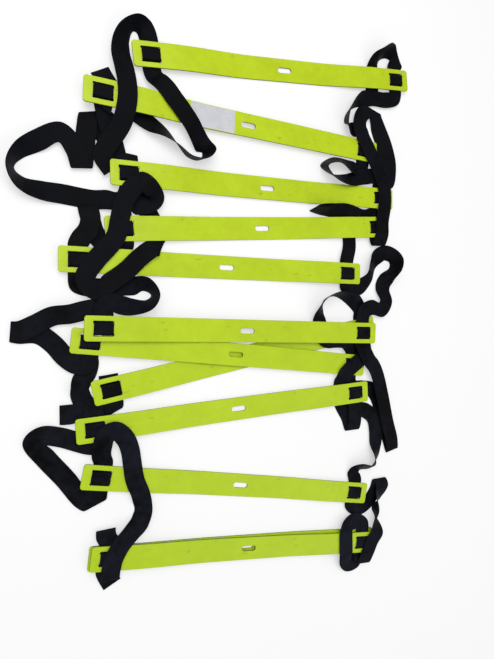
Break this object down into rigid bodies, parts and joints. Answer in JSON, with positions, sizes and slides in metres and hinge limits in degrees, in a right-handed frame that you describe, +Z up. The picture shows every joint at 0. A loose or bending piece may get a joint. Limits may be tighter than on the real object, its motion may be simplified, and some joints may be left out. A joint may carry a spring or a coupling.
{
  "type": "agility ladder",
  "caption": "Flat plastic rungs threaded on two lengths of webbing, gathered up with the webbing's slack lying in loops between them",
  "frame": {"origin": "centre of the gathered heap on the floor, at the bottom centre of its bounding box", "axes": "+Z up, +Y along the ladder towards the first rung, +X along the rungs to the right"},
  "size_m": [0.6772, 0.9623, 0.0289],
  "materials": {
    "lime_plastic": "semi-matt moulded polypropylene, lime yellow",
    "black_webbing": "black woven polypropylene webbing, slight sheen"
  },
  "bodies": {
    "rung_01": {"rung_01": "lime_plastic", "webbing_left_01": "black_webbing", "webbing_right_01": "black_webbing"},
    "rung_02": {"rung_02": "lime_plastic", "webbing_left_02": "black_webbing", "webbing_right_02": "black_webbing"},
    "rung_03": {"rung_03": "lime_plastic", "webbing_left_03": "black_webbing", "webbing_right_03": "black_webbing"},
    "rung_04": {"rung_04": "lime_plastic", "webbing_left_04": "black_webbing", "webbing_right_04": "black_webbing"},
    "rung_05": {"rung_05": "lime_plastic", "webbing_left_05": "black_webbing", "webbing_right_05": "black_webbing"},
    "rung_06": {"rung_06": "lime_plastic", "webbing_left_06": "black_webbing", "webbing_right_06": "black_webbing"},
    "rung_07": {"rung_07": "lime_plastic", "webbing_left_07": "black_webbing", "webbing_right_07": "black_webbing"},
    "rung_08": {"rung_08": "lime_plastic", "webbing_left_08": "black_webbing", "webbing_right_08": "black_webbing"},
    "rung_09": {"rung_09": "lime_plastic", "webbing_left_09": "black_webbing", "webbing_right_09": "black_webbing"},
    "rung_10": {"rung_10": "lime_plastic", "webbing_left_10": "black_webbing", "webbing_right_10": "black_webbing"},
    "rung_11": {"rung_11": "lime_plastic", "webbing_left_11": "black_webbing", "webbing_right_11": "black_webbing"},
    "rung_12": {"rung_12": "lime_plastic", "webbing_left_12": "black_webbing", "webbing_right_12": "black_webbing"}
  },
  "joints": [
    {"name": "span_01", "type": "slide", "parent": "rung_01", "child": "rung_02", "axis": [0, -1, 0], "range_m": [0, 0.129], "deforming": ["webbing_left_01", "webbing_right_01"]},
    {"name": "span_02", "type": "slide", "parent": "rung_02", "child": "rung_03", "axis": [0, -1, 0], "range_m": [0, 0.203], "deforming": ["webbing_left_02", "webbing_right_02"]},
    {"name": "span_03", "type": "slide", "parent": "rung_03", "child": "rung_04", "axis": [0, -1, 0], "range_m": [0, 0.461], "deforming": ["webbing_left_03", "webbing_right_03"]},
    {"name": "span_04", "type": "slide", "parent": "rung_04", "child": "rung_05", "axis": [0, -1, 0], "range_m": [0, 0.141], "deforming": ["webbing_left_04", "webbing_right_04"]},
    {"name": "span_05", "type": "slide", "parent": "rung_05", "child": "rung_06", "axis": [0, -1, 0], "range_m": [0, 0.172], "deforming": ["webbing_left_05", "webbing_right_05"]},
    {"name": "span_06", "type": "slide", "parent": "rung_06", "child": "rung_07", "axis": [0, -1, 0], "range_m": [0, 0.304], "deforming": ["webbing_left_06", "webbing_right_06"]},
    {"name": "span_07", "type": "slide", "parent": "rung_07", "child": "rung_08", "axis": [0, -1, 0], "range_m": [0, 0.122], "deforming": ["webbing_left_07", "webbing_right_07"]},
    {"name": "span_08", "type": "slide", "parent": "rung_08", "child": "rung_09", "axis": [0, -1, 0], "range_m": [0, 0.15], "deforming": ["webbing_left_08", "webbing_right_08"]},
    {"name": "span_09", "type": "slide", "parent": "rung_09", "child": "rung_10", "axis": [0, -1, 0], "range_m": [0, 0.083], "deforming": ["webbing_left_09", "webbing_right_09"]},
    {"name": "span_10", "type": "slide", "parent": "rung_10", "child": "rung_11", "axis": [0, -1, 0], "range_m": [0, 0.234], "deforming": ["webbing_left_10", "webbing_right_10"]},
    {"name": "span_11", "type": "slide", "parent": "rung_11", "child": "rung_12", "axis": [0, -1, 0], "range_m": [0, 0.087], "deforming": ["webbing_left_11", "webbing_right_11"]}
  ]
}
